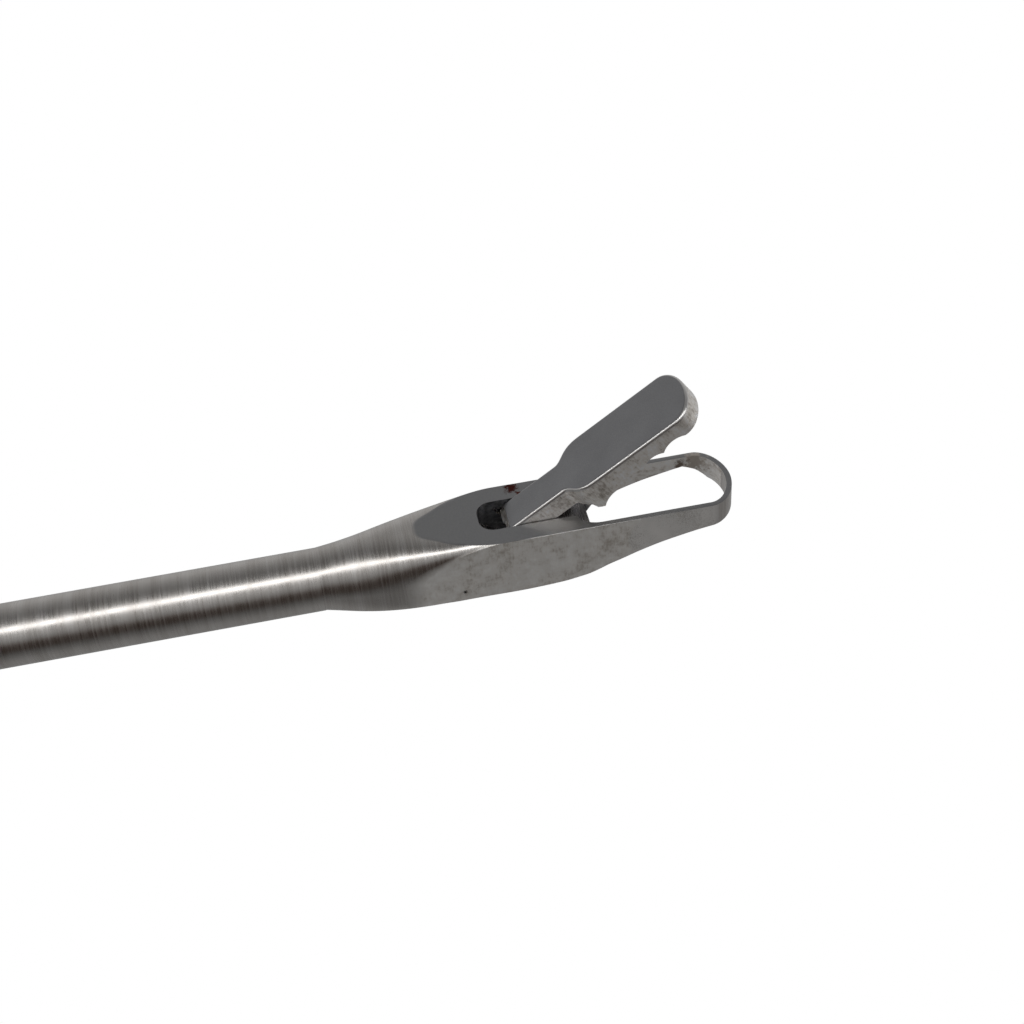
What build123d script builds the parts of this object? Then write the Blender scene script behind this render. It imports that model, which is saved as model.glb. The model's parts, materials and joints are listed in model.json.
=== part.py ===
from build123d import *
import os
from math import sin, cos, radians, degrees, asin, pi

os.makedirs("parts", exist_ok=True)

# Ring-handled basket punch. Millimetres, +X along the shaft towards the jaws, +Z up.
# The origin is on the shaft axis at the front face of the handle body.

# ---- sizes that drive everything else ----
shaft_radius = 1.75          # outside of the shaft tube
tube_wall = 0.5
rod_radius = 0.8
run_gap = 0.03               # radial clearance of every turning or sliding fit
slot_gap = 0.06              # side clearance of the jaw in the head
pin_radius = 0.3             # jaw link pin

head_x = 111.0               # where the jaw head's own lengths are counted from
flare_start = -4.4           # from head_x, like every head length below
head_half_width = 2.32
head_top = 2.38
head_bottom = -1.32
loop_wall = 0.30
loop_centre = 17.10
loop_reach = 1.62            # from loop_centre to the tip of the loop
window_rear = 9.88
window_corner = 1.20         # length of the window's rounded rear corners
spigot_length = 5.0

pivot_x = 6.55               # centre that the jaw's lugs turn about
pivot_z = 2.13
hub_radius = 1.90
lug_inner = 0.60
lug_outer = 1.00
lug_width = 0.40
link_radius = 1.40           # from the pivot to the link pin
jaw_open = 34.7              # degrees of opening, drawn open

jaw_top = 0.240              # top of the jaw above the pivot, square to the jaw
jaw_half_width = head_half_width - loop_wall - 0.04
neck_half_width = 1.09
jaw_tail = -0.30             # along the jaw from the pivot, like every jaw length below
jaw_nose = 11.76
nose_length = 1.25
neck_depth = 1.25
tongue_half = 0.35

body_length = 30.0
body_half_width = 5.0
body_top = 6.0
body_bottom = -10.0
fork_half_gap = 2.9
fork_front = -10.0
tube_end = -9.0
arm_length = 6.0             # from the handle pivot up to the rod pin
handle_pivot_x = -18.0
handle_half = 2.4            # half the thickness of both ring handles
ring_inner = 11.0
ring_outer = 14.2
front_ring_x = 7.0
front_ring_z = -80.0
rear_ring_x = -38.0
rear_ring_z = -82.0
arm_width = 6.4
washer_radius = 3.1
pivot_screw_radius = 1.75
rod_pin_radius = 0.9
clevis_half = 2.2
hub_flat = 2.8                # top of the rear handle's hub above its pivot
clevis_slot_half = 1.1
handle_tip_half = 1.0
stop_z = -20.0
stop_radius = 1.5

# ---- values worked out from them ----
tube_inner = shaft_radius - tube_wall
rod_travel = 2 * link_radius * sin(radians(jaw_open / 2))
squeeze = degrees(2 * asin(rod_travel / 2 / arm_length))
px = head_x + pivot_x
link_x = px + rod_travel / 2
link_z = pivot_z - link_radius * cos(radians(jaw_open / 2))
link_rise = link_radius * (1 - cos(radians(jaw_open / 2)))
rod_pin_x = handle_pivot_x + rod_travel / 2
handle_pivot_z = -arm_length * cos(radians(squeeze / 2))
slot_half = neck_half_width + slot_gap

open_a = radians(jaw_open)
jaw_side = Plane(origin=(px, 0, pivot_z), x_dir=(cos(open_a), 0, sin(open_a)), z_dir=(0, -1, 0))
jaw_plan = Plane(
    origin=(px - jaw_top * sin(open_a), 0, pivot_z + jaw_top * cos(open_a)),
    x_dir=(cos(open_a), 0, sin(open_a)),
    z_dir=(-sin(open_a), 0, cos(open_a)),
)


def rounded_end(centre, reach, half_width, square):
    """Half a superellipse in plan, from +half_width round the tip to -half_width."""
    points = []
    for step in range(25):
        t = pi / 2 - pi * step / 24
        c = abs(cos(t)) ** (2 / square)
        s = abs(sin(t)) ** (2 / square)
        points.append((centre + reach * c, half_width * s * (1 if t >= 0 else -1)))
    return points


def ring_sector(inner, outer, start, stop):
    """Corner points of a ring sector about the sketch origin, angles in degrees."""
    count = 24
    far = [start + (stop - start) * i / count for i in range(count + 1)]
    points = [(outer * cos(radians(a)), outer * sin(radians(a))) for a in far]
    points += [(inner * cos(radians(a)), inner * sin(radians(a))) for a in reversed(far)]
    return points


# ---- shaft tube: soldered into the handle body, welded to the jaw head ----
tube_front = head_x + flare_start
with BuildPart() as shaft_tube:
    with BuildSketch(Plane.YZ.offset(tube_end)):
        Circle(shaft_radius)
        Circle(tube_inner, mode=Mode.SUBTRACT)
    extrude(amount=tube_front - tube_end)

# ---- jaw head: flared blank with flats, slot for the jaw and the open loop ----
flare = [
    (-4.4, shaft_radius), (-3.3, 1.88), (-2.3, 2.04), (-0.6, 2.38), (0.5, 2.59),
    (1.8, 2.82), (3.4, 3.08), (5.2, 3.34), (7.5, 3.46),
]
top_line = [(-4.4, shaft_radius), (-3.4, 1.89), (-2.2, 2.07), (-1.0, 2.22), (0.2, 2.32), (1.6, head_top)]
side_line = [(-4.4, shaft_radius), (-3.4, 1.88), (-2.2, 2.05), (-1.0, 2.19), (0.2, 2.28), (1.6, head_half_width)]
bottom_line = [(-4.4, -shaft_radius), (-2.4, -1.70), (-0.4, -1.54), (1.4, -1.39), (3.2, head_bottom)]
loop_line = [
    (7.2, head_bottom), (8.2, -1.27), (9.0, -1.20), (9.6, -1.10), (10.2, -0.98), (10.75, -0.78),
    (11.3, -0.55), (11.9, -0.35), (13.0, 0.04), (14.1, 0.37), (15.3, 0.64), (16.4, 0.85),
    (17.4, 0.98), (18.9, 1.05),
]
slot_rear = pivot_x - hub_radius - 0.1
slot_corner = 0.85
neck_floor = pivot_z + jaw_top - neck_depth - 0.15
with BuildPart() as jaw_slot:
    with BuildSketch(Plane.XY.offset(-1)):
        with Locations((head_x + (slot_rear + window_rear) / 2, 0)):
            Rectangle(window_rear - slot_rear, 2 * slot_half)
        fillet(vertices().filter_by(lambda v: v.X < head_x + slot_rear + 0.1), slot_corner)
        with Locations((head_x + window_rear, 0)):
            Rectangle(1, 2 * slot_half)
    extrude(amount=5)
    with BuildSketch(Plane.XZ):
        with Locations((px, pivot_z)):
            Circle(hub_radius + 0.1)
        with Locations((head_x + (pivot_x + window_rear) / 2 + 1, (pivot_z + neck_floor) / 2)):
            Rectangle(window_rear - pivot_x + 2, pivot_z - neck_floor)
        with Locations((head_x + (slot_rear + window_rear) / 2, pivot_z + 1)):
            Rectangle(window_rear - slot_rear + 4, 2)
    extrude(amount=2, both=True, mode=Mode.INTERSECT)

# window inside the loop; below the closed jaw a ledge stands into its rear end
ledge_top = 0.40
ledge_front = 10.80
ledge_draft = 0.15
with BuildPart() as jaw_window:
    with BuildSketch(Plane.XY.offset(-3)):
        with BuildLine():
            inner = head_half_width - loop_wall
            corner_x = head_x + window_rear + window_corner
            shoulder = slot_half + 0.10
            Line((head_x + window_rear, -shoulder), (head_x + window_rear, shoulder))
            Spline(
                (head_x + window_rear, shoulder),
                (corner_x - 0.707 * window_corner, shoulder + 0.707 * (inner - shoulder)),
                (corner_x, inner),
                tangents=((0, 1), (1, 0)),
            )
            Line((corner_x, inner), (head_x + loop_centre, inner))
            Spline(
                *rounded_end(head_x + loop_centre, loop_reach - loop_wall, inner, 1.9),
                tangents=((1, 0), (-1, 0)),
            )
            Line((head_x + loop_centre, -inner), (corner_x, -inner))
            Spline(
                (corner_x, -inner),
                (corner_x - 0.707 * window_corner, -shoulder - 0.707 * (inner - shoulder)),
                (head_x + window_rear, -shoulder),
                tangents=((-1, 0), (0, 1)),
            )
        make_face()
    extrude(amount=7)
    with BuildSketch(Plane.XZ):
        Polygon(
            (head_x + window_rear - 1, -4), (head_x + window_rear - 1, ledge_top),
            (head_x + ledge_front, ledge_top), (head_x + ledge_front + ledge_draft, -4), align=None,
        )
    extrude(amount=4, both=True, mode=Mode.SUBTRACT)

# the loop's lower edge, ground away inside the walls, and higher up the wall on the +Y side
bevel_height = 0.85
bevel_end = 17.2
bevel_fade = 5.3
far_lift = 0.66              # how much shorter the +Y wall is
far_end = 18.0
far_fade = 1.4
with BuildPart() as loop_bevel:
    for x, z in loop_line[5:12] + [(bevel_end, 0.96), (far_end - 0.1, 1.0)]:
        height = bevel_height * max(0.01, min(1, (bevel_end + 0.1 - x) / bevel_fade))
        lift = far_lift * min(1, (x - 10.6) / 0.9, (far_end - x) / far_fade)
        inner = head_half_width - loop_wall - 0.02
        with BuildSketch(Plane.YZ.offset(head_x + x)):
            with BuildLine():
                Polyline(
                    (head_half_width + 0.1, z - 0.05), (head_half_width + 0.1, z + lift),
                    (inner, z + 1.3 * lift), (-inner, z + height), (0.06 - head_half_width, z - 0.01),
                    (head_half_width + 0.1, z - 0.05),
                )
            make_face()
    loft(ruled=True)

with BuildPart() as jaw_head:
    with BuildSketch(Plane.XZ):
        with BuildLine():
            Spline(*[(head_x + x, r) for x, r in flare], tangents=((1, 0.1), (1, 0.0)))
            Line((head_x + 7.5, 3.46), (head_x + 20, 3.46))
            Line((head_x + 20, 3.46), (head_x + 20, 0))
            Line((head_x + 20, 0), (tube_front, 0))
            Line((tube_front, 0), (tube_front, shaft_radius))
        make_face()
    revolve(axis=Axis.X)
    # top flat, belly and the underside that thins towards the tip
    with BuildSketch(Plane.XZ):
        with BuildLine():
            Spline(*[(head_x + x, z) for x, z in top_line], tangents=((1, 0.1), (1, 0)))
            Line((head_x + 1.6, head_top), (head_x + 20, head_top))
            Line((head_x + 20, head_top), (head_x + 20, 1.05))
            Line((head_x + 20, 1.05), (head_x + 18.9, 1.05))
            Spline(*[(head_x + x, z) for x, z in loop_line])
            Line((head_x + 7.2, head_bottom), (head_x + 3.2, head_bottom))
            Spline(*[(head_x + x, z) for x, z in bottom_line])
            Line((tube_front, -shaft_radius), (tube_front, shaft_radius))
        make_face()
    extrude(amount=4, both=True, mode=Mode.INTERSECT)
    # side flats and the rounded loop, in plan
    with BuildSketch(Plane.XY.offset(-3)):
        with BuildLine():
            Spline(*[(head_x + x, y) for x, y in side_line], tangents=((1, 0.1), (1, 0)))
            Line((head_x + 1.6, head_half_width), (head_x + loop_centre, head_half_width))
            Spline(
                *rounded_end(head_x + loop_centre, loop_reach, head_half_width, 1.9),
                tangents=((1, 0), (-1, 0)),
            )
            Line((head_x + loop_centre, -head_half_width), (head_x + 1.6, -head_half_width))
            Spline(*[(head_x + x, -y) for x, y in reversed(side_line)], tangents=((-1, 0), (-1, 0.1)))
            Line((tube_front, -shaft_radius), (tube_front, shaft_radius))
        make_face()
    extrude(amount=7, mode=Mode.INTERSECT)
    # spigot that fills the end of the tube
    with BuildSketch(Plane.YZ.offset(tube_front - spigot_length)):
        Circle(tube_inner)
    extrude(amount=spigot_length)
    # window, slot for the jaw's neck, and the bevel inside the loop's lower edge
    add(jaw_window.part, mode=Mode.SUBTRACT)
    add(jaw_slot.part, mode=Mode.SUBTRACT)
    add(loop_bevel.part, mode=Mode.SUBTRACT)
    # curved grooves that carry the jaw's lugs, with a straight way in from the window
    groove_depth = slot_half + lug_width + 0.03
    with BuildSketch(Plane(origin=(px, 0, pivot_z), x_dir=(1, 0, 0), z_dir=(0, -1, 0))):
        Polygon(*ring_sector(lug_inner - run_gap, lug_outer + run_gap, -163, -2), align=None)
    extrude(amount=groove_depth, both=True, mode=Mode.SUBTRACT)
    way_low = pivot_z - lug_outer - run_gap
    way_high = pivot_z - lug_inner + 0.1
    with Locations((head_x + (pivot_x + window_rear) / 2, 0, (way_low + way_high) / 2)):
        Box(window_rear - pivot_x + 0.2, 2 * groove_depth, way_high - way_low, mode=Mode.SUBTRACT)
    # bore for the rod, right through from the spigot
    bore_end = pivot_x + 1.7
    with BuildSketch(Plane.YZ.offset(tube_front - spigot_length)):
        Circle(rod_radius + run_gap)
    extrude(amount=spigot_length - flare_start + bore_end, mode=Mode.SUBTRACT)

# ---- upper jaw: serrated paddle, neck, hub with two cheeks and curved lugs ----
tooth_u = [4.60, 6.12, 7.55, 8.95, 10.44]
tooth_d = [1.90, 1.52, 1.33, 1.24, 1.12]
plan_shoulder = [(3.23, neck_half_width), (3.78, neck_half_width), (3.85, jaw_half_width), (5.10, jaw_half_width)]
with BuildPart() as upper_jaw:
    with BuildSketch(jaw_plan):
        nose_u = jaw_nose - nose_length
        with BuildLine():
            Line((-2.2, neck_half_width), (3.23, neck_half_width))
            Bezier(*plan_shoulder)
            Line((5.10, jaw_half_width), (nose_u, jaw_half_width))
            EllipticalCenterArc((nose_u, 0), nose_length, jaw_half_width, start_angle=-90, arc_size=180)
            Line((nose_u, -jaw_half_width), (5.10, -jaw_half_width))
            Bezier(*[(u, -y) for u, y in reversed(plan_shoulder)])
            Line((3.23, -neck_half_width), (-2.2, -neck_half_width))
            Line((-2.2, -neck_half_width), (-2.2, neck_half_width))
        make_face()
    extrude(amount=-4.5)
    top_face = faces().sort_by(Axis(origin=(0, 0, 0), direction=jaw_plan.z_dir))[-1]
    fillet(top_face.edges().filter_by(lambda e: jaw_plan.to_local_coords(e).center().X > -2.0), 0.16)
    with BuildSketch(jaw_side):
        with BuildLine():
            Polyline(
                (jaw_tail, jaw_top), (jaw_nose + 0.5, jaw_top), (jaw_nose + 0.5, jaw_top - 1.16),
                (tooth_u[4], jaw_top - tooth_d[4]),
            )
            for i in range(4, 0, -1):
                u1, u0 = tooth_u[i], tooth_u[i - 1]
                d1, d0 = tooth_d[i], tooth_d[i - 1]
                middle = ((u0 + u1) / 2, jaw_top - (d0 + d1) / 2 + 0.25)
                ThreePointArc((u1, jaw_top - d1), middle, (u0, jaw_top - d0))
            Polyline(
                (tooth_u[0], jaw_top - tooth_d[0]), (4.22, jaw_top - 1.80), (4.10, jaw_top - 1.50),
                (3.60, jaw_top - 1.46), (3.45, jaw_top - neck_depth), (1.2, jaw_top - neck_depth),
                (-0.6, jaw_top - neck_depth), (-0.7, -0.4), (jaw_tail, jaw_top),
            )
        make_face()
        with BuildLine():
            hub_start = radians(-135)
            hub_end = radians(-12)
            hub_mid = radians(-80)
            ThreePointArc(
                (hub_radius * cos(hub_start), hub_radius * sin(hub_start)),
                (hub_radius * cos(hub_mid), hub_radius * sin(hub_mid)),
                (hub_radius * cos(hub_end), hub_radius * sin(hub_end)),
            )
            Polyline(
                (hub_radius * cos(hub_end), hub_radius * sin(hub_end)), (1.5, 0.1), (jaw_tail, jaw_top),
                (hub_radius * cos(hub_start), hub_radius * sin(hub_start)),
            )
        make_face()
    extrude(amount=3, both=True, mode=Mode.INTERSECT)
    # curved lugs on both cheeks
    with BuildSketch(jaw_side):
        Polygon(*ring_sector(lug_inner, lug_outer, -160, -40), align=None)
    extrude(amount=neck_half_width + lug_width, both=True)
    # slit between the cheeks for the rod's tongue
    with BuildSketch(jaw_side):
        Polygon((0.35, -2.6), (0.35, -1.1), (-0.045, -0.80), (-2.3, 0.78), (-2.9, -2.6), align=None)
    extrude(amount=tongue_half + slot_gap, both=True, mode=Mode.SUBTRACT)
    with BuildSketch(Plane.XZ):
        with Locations((link_x, link_z)):
            Circle(pin_radius)
    extrude(amount=3, both=True, mode=Mode.SUBTRACT)

# ---- link pin: pressed through both cheeks of the jaw ----
with BuildPart() as jaw_link_pin:
    with BuildSketch(Plane.XZ):
        with Locations((link_x, link_z)):
            Circle(pin_radius)
    extrude(amount=neck_half_width, both=True)

# ---- drive rod: round rod with a flat tongue at the jaw end ----
rod_back = rod_pin_x + 3.2
tongue_root = px - hub_radius - 0.15
with BuildPart() as drive_rod:
    with BuildSketch(Plane.YZ.offset(rod_back)):
        Circle(rod_radius)
    extrude(amount=tongue_root - rod_back)
    with BuildSketch(Plane.XZ):
        with BuildLine():
            Polyline(
                (tongue_root - 0.5, -0.55), (tongue_root - 0.5, 0.55), (link_x - 0.9, 0.62),
                (link_x - 0.5, link_z + 0.25),
            )
            ThreePointArc(
                (link_x - 0.5, link_z + 0.25), (link_x, link_z + 0.55), (link_x + 0.5, link_z + 0.25),
            )
            Polyline(
                (link_x + 0.5, link_z + 0.25), (link_x + 0.5, -0.30), (link_x + 0.25, -0.55),
                (tongue_root - 0.5, -0.55),
            )
        make_face()
        with Locations((link_x, link_z - link_rise / 2)):
            SlotCenterToCenter(link_rise + 0.02, 2 * (pin_radius + run_gap), rotation=90, mode=Mode.SUBTRACT)
    extrude(amount=tongue_half, both=True)

# ---- guide bush: pressed into the back of the tube ----
with BuildPart() as rod_guide_bush:
    with BuildSketch(Plane.YZ.offset(tube_end)):
        Circle(tube_inner)
        Circle(rod_radius + run_gap, mode=Mode.SUBTRACT)
    extrude(amount=4)

# ---- ferrule: tapered collar soldered to the tube against the handle body ----
ferrule_length = 7.0
ferrule_radius = 3.6
with BuildPart() as shaft_ferrule:
    with BuildSketch(Plane.XZ):
        Polygon(
            (0, shaft_radius), (0, ferrule_radius), (1.6, ferrule_radius), (1.6, ferrule_radius - 0.35),
            (2.3, ferrule_radius - 0.35), (2.3, ferrule_radius - 0.1), (3.0, ferrule_radius - 0.1),
            (ferrule_length, shaft_radius + 0.45), (ferrule_length, shaft_radius), align=None,
        )
    revolve(axis=Axis.X)

# ---- handle body: machined block, tube bore in front, fork behind ----
tab_top = -3.4
tab_gap = 0.02
tab_back = -8.6
tab_screw_z = -6.4
tab_screw_x = [-2.5, -6.6]
tab_screw_radius = 1.0
tab_head_radius = 1.9
tab_head_depth = 1.1
screw_head_radius = 3.1
screw_head_depth = 1.3
set_screw_radius = 1.25
set_screw_x = -4.5
with BuildPart() as handle_body:
    with BuildSketch(Plane.XZ):
        Polygon(
            (0, -7.5), (0, 4.2), (-1.8, body_top), (-24.5, body_top), (-body_length, 1.5),
            (-body_length, -7.0), (-27, body_bottom), (-2.5, body_bottom), align=None,
        )
        fillet(vertices(), 1.2)
    extrude(amount=body_half_width, both=True)
    fillet(faces().sort_by(Axis.Y)[-1].edges(), 0.9)
    fillet(faces().sort_by(Axis.Y)[0].edges(), 0.9)
    # fork for the rear handle, open behind, above and below
    with Locations(((fork_front - body_length - 1) / 2, 0, 0)):
        Box(body_length + fork_front + 1, 2 * fork_half_gap, 40, mode=Mode.SUBTRACT)
    # slot for the front handle's tab
    with Locations((tab_back / 2 + 0.5, 0, (tab_top - 20) / 2 + tab_gap)):
        Box(-tab_back + 1, 2 * (handle_half + tab_gap), 20 + tab_top, mode=Mode.SUBTRACT)
    # bore for the tube
    with BuildSketch(Plane.YZ.offset(fork_front - 1)):
        Circle(shaft_radius)
    extrude(amount=12, mode=Mode.SUBTRACT)
    # holes across the fork and the tab slot, counterbored on the -Y side
    with BuildSketch(Plane.XZ):
        with Locations((handle_pivot_x, handle_pivot_z)):
            Circle(pivot_screw_radius)
        with Locations([(x, tab_screw_z) for x in tab_screw_x]):
            Circle(tab_screw_radius)
    extrude(amount=body_half_width + 1, both=True, mode=Mode.SUBTRACT)
    with BuildSketch(Plane.XZ.offset(body_half_width - screw_head_depth)):
        with Locations((handle_pivot_x, handle_pivot_z)):
            Circle(screw_head_radius)
    extrude(amount=3, mode=Mode.SUBTRACT)
    with BuildSketch(Plane.XZ.offset(body_half_width - tab_head_depth)):
        with Locations([(x, tab_screw_z) for x in tab_screw_x]):
            Circle(tab_head_radius)
    extrude(amount=3, mode=Mode.SUBTRACT)
    # set screw hole from the top down to the tube
    with BuildSketch(Plane.XY.offset(shaft_radius - 0.5)):
        with Locations((set_screw_x, 0)):
            Circle(set_screw_radius)
    extrude(amount=8, mode=Mode.SUBTRACT)

# ---- set screw: holds the tube in the body ----
with BuildPart() as tube_set_screw:
    with BuildSketch(Plane.XY.offset(shaft_radius)):
        with Locations((set_screw_x, 0)):
            Circle(set_screw_radius)
    extrude(amount=3.4)
    with BuildSketch(Plane.XY.offset(shaft_radius + 2.4)):
        with Locations((set_screw_x, 0)):
            RegularPolygon(0.7, 6)
    extrude(amount=2, mode=Mode.SUBTRACT)

# ---- front handle: tab in the body, arm and finger ring ----
with BuildPart() as handle_front:
    with BuildSketch(Plane.XZ):
        with BuildLine():
            Polyline(
                (tab_back + 0.1, tab_top), (-0.9, tab_top), (-0.9, -12.0),
            )
            Spline((-0.9, -12.0), (0.6, -30), (4.6, -50), (front_ring_x + 2.0, front_ring_z + 13.0),
                   tangents=((0, -1), (0.3, -1)))
            Line((front_ring_x + 2.0, front_ring_z + 13.0), (front_ring_x - 4.5, front_ring_z + 13.0))
            Spline((front_ring_x - 4.5, front_ring_z + 13.0), (-1.5, -50), (-5.8, -30), (tab_back + 0.1, -12.0),
                   tangents=((-0.3, 1), (0, 1)))
            Line((tab_back + 0.1, -12.0), (tab_back + 0.1, tab_top))
        make_face()
        with Locations((front_ring_x, front_ring_z)):
            Circle(ring_outer)
            Circle(ring_inner, mode=Mode.SUBTRACT)
    extrude(amount=handle_half, both=True)
    fillet(edges().filter_by(lambda e: abs(e.center().Y) > handle_half - 0.1 and e.center().Z < -13), 0.9)
    with BuildSketch(Plane.XZ):
        with Locations([(x, tab_screw_z) for x in tab_screw_x]):
            Circle(tab_screw_radius)
    extrude(amount=4, both=True, mode=Mode.SUBTRACT)

# ---- screws that hold the front handle in the body ----
for number, x in enumerate(tab_screw_x, start=1):
    with BuildPart() as tab_screw:
        with BuildSketch(Plane.XZ.offset(body_half_width - tab_head_depth)):
            with Locations((x, tab_screw_z)):
                Circle(tab_head_radius - 0.05)
        extrude(amount=0.9)
        with BuildSketch(Plane.XZ.offset(-body_half_width + 0.4)):
            with Locations((x, tab_screw_z)):
                Circle(tab_screw_radius)
        extrude(amount=2 * body_half_width - 0.4 - tab_head_depth)
        with Locations((x, -body_half_width, tab_screw_z)):
            Box(5, 0.8, 0.45, rotation=(0, 35 * number, 0), mode=Mode.SUBTRACT)
    tab_screw.part.label = "front_handle_screw_" + str(number)
    export_step(tab_screw.part, "parts/front_handle_screw_" + str(number) + ".step")

# ---- rear handle: hub on the pivot screw, tip on the rod pin, arm and thumb ring ----
washer_thickness = fork_half_gap - handle_half - 2 * 0.02
with BuildPart() as handle_rear:
    with BuildSketch(Plane.XZ):
        with BuildLine():
            Spline((handle_pivot_x + 4.0, handle_pivot_z - 3.0), (-15.6, -22), (-20.6, -44),
                   (rear_ring_x + 6.8, rear_ring_z + 12.4), tangents=((-0.2, -1), (-0.42, -1)))
            Line((rear_ring_x + 6.8, rear_ring_z + 12.4), (rear_ring_x + 0.4, rear_ring_z + 13.0))
            Spline((rear_ring_x + 0.4, rear_ring_z + 13.0), (-26.8, -44), (-22.2, -22),
                   (handle_pivot_x - 4.0, handle_pivot_z - 3.0), tangents=((0.42, 1), (0.1, 1)))
            Line((handle_pivot_x - 4.0, handle_pivot_z - 3.0), (handle_pivot_x + 4.0, handle_pivot_z - 3.0))
        make_face()
        with Locations((handle_pivot_x, handle_pivot_z)):
            Circle(5.3)
        with Locations((rear_ring_x, rear_ring_z)):
            Circle(ring_outer)
            Circle(ring_inner, mode=Mode.SUBTRACT)
    extrude(amount=handle_half, both=True)
    fillet(edges().filter_by(lambda e: abs(e.center().Y) > handle_half - 0.1), 0.9)
    # flat on top of the hub that clears the rod end
    with Locations((handle_pivot_x, 0, handle_pivot_z + hub_flat + 5)):
        Box(20, 10, 10, mode=Mode.SUBTRACT)
    # thin tip that reaches up between the ears of the rod end
    with BuildSketch(Plane.XZ):
        Polygon(
            (handle_pivot_x - 2.4, handle_pivot_z), (handle_pivot_x + 2.4, handle_pivot_z),
            (rod_pin_x + 1.9, 0), (rod_pin_x - 1.9, 0), align=None,
        )
        with Locations((rod_pin_x, 0)):
            Circle(2.0)
    extrude(amount=handle_tip_half, both=True)
    tip_lift = arm_length * (1 - cos(radians(squeeze / 2)))
    with BuildSketch(Plane.XZ):
        with Locations((rod_pin_x, 0)):
            SlotCenterToCenter(tip_lift + 0.02, 2 * (rod_pin_radius + run_gap), rotation=90)
        with Locations((handle_pivot_x, handle_pivot_z)):
            Circle(pivot_screw_radius + run_gap)
    extrude(amount=8, both=True, mode=Mode.SUBTRACT)
    # threaded hole for the stop screw
    with BuildSketch(Plane.YZ.offset(-32)):
        with Locations((0, stop_z)):
            Circle(stop_radius)
    extrude(amount=24, mode=Mode.SUBTRACT)

# ---- pivot screw: slotted head on the -Y side, shoulder through the hub ----
with BuildPart() as pivot_screw:
    with BuildSketch(Plane.XZ.offset(body_half_width - screw_head_depth)):
        with Locations((handle_pivot_x, handle_pivot_z)):
            Circle(screw_head_radius - 0.05)
    extrude(amount=1.1)
    with BuildSketch(Plane.XZ.offset(-body_half_width + 0.3)):
        with Locations((handle_pivot_x, handle_pivot_z)):
            Circle(pivot_screw_radius)
    extrude(amount=2 * body_half_width - 0.3 - screw_head_depth)
    with Locations((handle_pivot_x, -body_half_width, handle_pivot_z)):
        Box(8, 1.0, 0.7, rotation=(0, -25, 0), mode=Mode.SUBTRACT)

# ---- pivot washers: one each side of the hub ----
for side, name in ((-1, "pivot_washer_near"), (1, "pivot_washer_far")):
    with BuildPart() as washer:
        with BuildSketch(Plane.XZ.offset(-side * (handle_half + 0.02))):
            with Locations((handle_pivot_x, handle_pivot_z)):
                Circle(washer_radius)
                Circle(pivot_screw_radius + run_gap, mode=Mode.SUBTRACT)
        extrude(amount=-side * washer_thickness)
    washer.part.label = name
    export_step(washer.part, "parts/" + name + ".step")

# ---- rod end: clevis screwed on the back of the rod ----
ear_front = rod_pin_x + 2.4
clevis_front = rod_pin_x + 4.2
with BuildPart() as rod_clevis:
    with BuildSketch(Plane.XZ):
        with Locations(((rod_pin_x + clevis_front) / 2, 0)):
            Rectangle(clevis_front - rod_pin_x, 2 * clevis_half)
        with Locations((rod_pin_x, 0)):
            Circle(clevis_half)
    extrude(amount=clevis_half, both=True)
    chamfer(edges().filter_by(lambda e: e.center().X > clevis_front - 0.01), 0.4)
    with Locations((ear_front - 5, 0, 0)):
        Box(10, 2 * clevis_slot_half, 12, mode=Mode.SUBTRACT)
    with BuildSketch(Plane.YZ.offset(rod_back)):
        Circle(rod_radius)
    extrude(amount=4, mode=Mode.SUBTRACT)
    with BuildSketch(Plane.XZ):
        with Locations((rod_pin_x, 0)):
            Circle(rod_pin_radius)
    extrude(amount=4, both=True, mode=Mode.SUBTRACT)

# ---- pin through the rod end, pressed in the ears ----
with BuildPart() as rod_clevis_pin:
    with BuildSketch(Plane.XZ):
        with Locations((rod_pin_x, 0)):
            Circle(rod_pin_radius)
    extrude(amount=clevis_half, both=True)
    chamfer(edges(), 0.15)

# ---- lock nut on the rod, against the rod end ----
with BuildPart() as rod_lock_nut:
    with BuildSketch(Plane.YZ.offset(clevis_front)):
        RegularPolygon(2.0, 6, major_radius=False)
        Circle(rod_radius, mode=Mode.SUBTRACT)
    extrude(amount=1.5)

# ---- stop screw through the rear handle, and its lock nut ----
stop_tip = -10.4
stop_back = -28.5
with BuildPart() as stop_screw:
    with BuildSketch(Plane.YZ.offset(stop_back)):
        with Locations((0, stop_z)):
            Circle(stop_radius)
    extrude(amount=stop_tip - stop_back)
    chamfer(edges().filter_by(GeomType.CIRCLE), 0.3)
    with Locations((stop_back, 0, stop_z)):
        Box(1.4, 5, 0.6, mode=Mode.SUBTRACT)

with BuildPart() as stop_lock_nut:
    with BuildSketch(Plane.YZ.offset(-24.6)):
        with Locations((0, stop_z)):
            RegularPolygon(2.75, 6, major_radius=False)
            Circle(stop_radius, mode=Mode.SUBTRACT)
    extrude(amount=-2.2)

pieces = [
    ("shaft_tube", shaft_tube), ("jaw_head", jaw_head), ("upper_jaw", upper_jaw),
    ("jaw_link_pin", jaw_link_pin), ("drive_rod", drive_rod), ("rod_guide_bush", rod_guide_bush),
    ("shaft_ferrule", shaft_ferrule), ("handle_body", handle_body), ("tube_set_screw", tube_set_screw),
    ("handle_front", handle_front), ("handle_rear", handle_rear), ("pivot_screw", pivot_screw),
    ("rod_clevis", rod_clevis), ("rod_clevis_pin", rod_clevis_pin), ("rod_lock_nut", rod_lock_nut),
    ("stop_screw", stop_screw), ("stop_lock_nut", stop_lock_nut),
]
for name, piece in pieces:
    piece.part.label = name
    export_step(piece.part, "parts/" + name + ".step")
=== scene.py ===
import json
import math

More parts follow.
